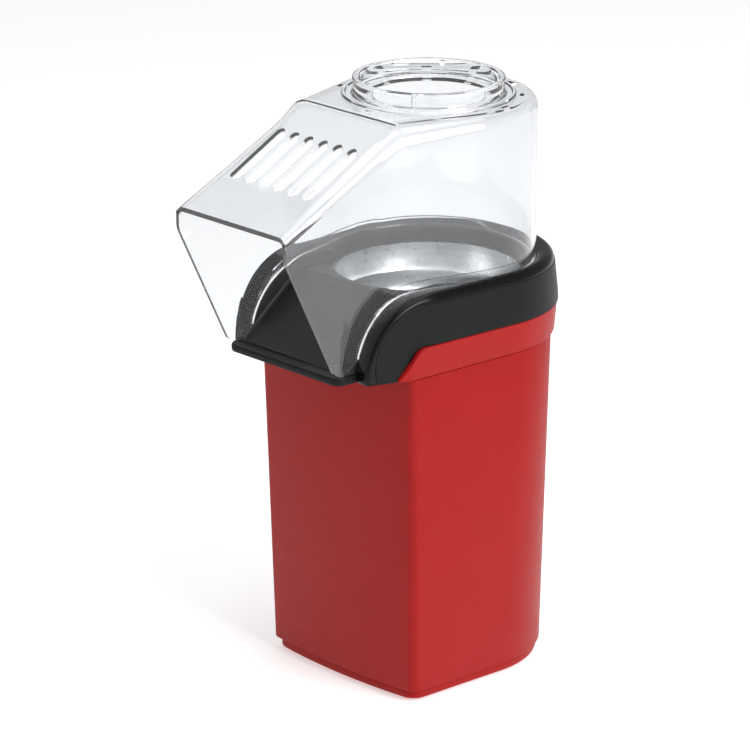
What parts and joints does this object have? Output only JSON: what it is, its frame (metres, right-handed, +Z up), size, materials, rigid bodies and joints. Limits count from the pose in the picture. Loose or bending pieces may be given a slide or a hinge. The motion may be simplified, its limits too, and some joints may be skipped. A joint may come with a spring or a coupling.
{
  "type": "hot-air popcorn maker",
  "caption": "Tall tapered countertop hot-air popcorn maker with a clear hooded cover, open filler neck and front chute.",
  "frame": {"origin": "centre of the bounding box on the surface the feet stand on", "axes": "+Z up, -Y towards the chute's mouth, +X to the right seen from behind the mouth looking along +Y"},
  "size_m": [0.1186, 0.1884, 0.29],
  "materials": {
    "red_plastic": "satin, moulded",
    "black_plastic": "satin with a glossy rim, moulded",
    "clear_plastic": "clear, polished",
    "rubber": "matte",
    "aluminium": "drawn, satin",
    "steel": "zinc plated",
    "heat_resistant": "moulded phenolic, matte",
    "mica": "layered, silky",
    "nichrome": "drawn wire",
    "nylon": "moulded, matte",
    "laminate": "resist-coated board",
    "wire": "woven sleeve"
  },
  "bodies": {
    "housing": {"base_plate": "red_plastic", "body_shell": "red_plastic", "upper_band": "red_plastic", "collar": "black_plastic", "popping_chamber": "aluminium", "heater_shroud": "steel", "heater_support": "steel", "mica_sheet_1": "mica", "mica_sheet_2": "mica", "heating_coil": "nichrome", "thermostat": "steel", "thermal_fuse": "steel", "blower_housing": "heat_resistant", "motor_mount": "steel", "motor_can": "steel", "motor_cap": "nylon", "rectifier_board": "laminate", "terminal_block": "nylon", "cord_gland": "rubber", "switch_frame": "black_plastic", "wire_inlet": "wire", "wire_live": "wire", "wire_heater": "wire", "rubber_foot_1": "rubber", "base_screw_1": "steel", "diode_1": "black_plastic", "rubber_foot_2": "rubber", "base_screw_2": "steel", "diode_2": "black_plastic", "rubber_foot_3": "rubber", "base_screw_3": "steel", "diode_3": "black_plastic", "rubber_foot_4": "rubber", "base_screw_4": "steel", "diode_4": "black_plastic", "mount_screw_1": "steel", "mount_screw_2": "steel", "mount_screw_3": "steel"},
    "cover": {"clear_cover": "clear_plastic"},
    "rocker": {"rocker_button": "black_plastic"},
    "rotor": {"fan_wheel": "heat_resistant", "motor_armature": "steel", "motor_shaft": "steel"}
  },
  "joints": [
    {"name": "cover_lift", "type": "slide", "parent": "housing", "child": "cover", "axis": [0, 0, 1], "range_m": [0, 0.06]},
    {"name": "rocker_tilt", "type": "hinge", "parent": "housing", "child": "rocker", "pos_m": [0, 0.08908, 0.034], "axis": [1, 0, 0], "range_deg": [0, 20]},
    {"name": "fan_spin", "type": "hinge", "parent": "housing", "child": "rotor", "pos_m": [0, 0.0302, 0.0622], "axis": [0, 0, 1], "continuous": true}
  ]
}
